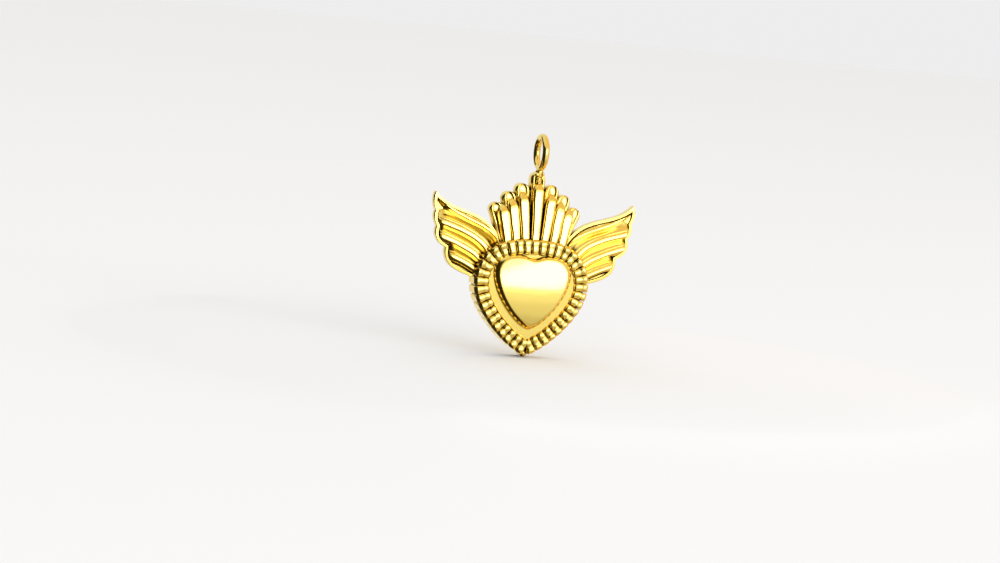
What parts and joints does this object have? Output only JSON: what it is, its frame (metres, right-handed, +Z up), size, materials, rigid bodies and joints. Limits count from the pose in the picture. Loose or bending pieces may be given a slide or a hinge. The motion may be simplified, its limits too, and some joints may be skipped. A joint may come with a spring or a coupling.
{
  "type": "sacred heart pendant",
  "caption": "Cast winged heart pendant with rays and a crown of flames, hung by a soldered wire ring.",
  "frame": {"origin": "middle of the hanging ring's hole", "axes": "+Z up as the pendant hangs, -Y out of its decorated face, +X to the right of a person facing it"},
  "size_m": [0.0204, 0.0037, 0.0218],
  "materials": {
    "plated_casting": "gold plated and polished bright, grooves darker",
    "plated_wire": "gold plated and polished bright"
  },
  "bodies": {
    "root": {"pendant_body": "plated_casting", "hanging_ring": "plated_wire"}
  },
  "joints": []
}
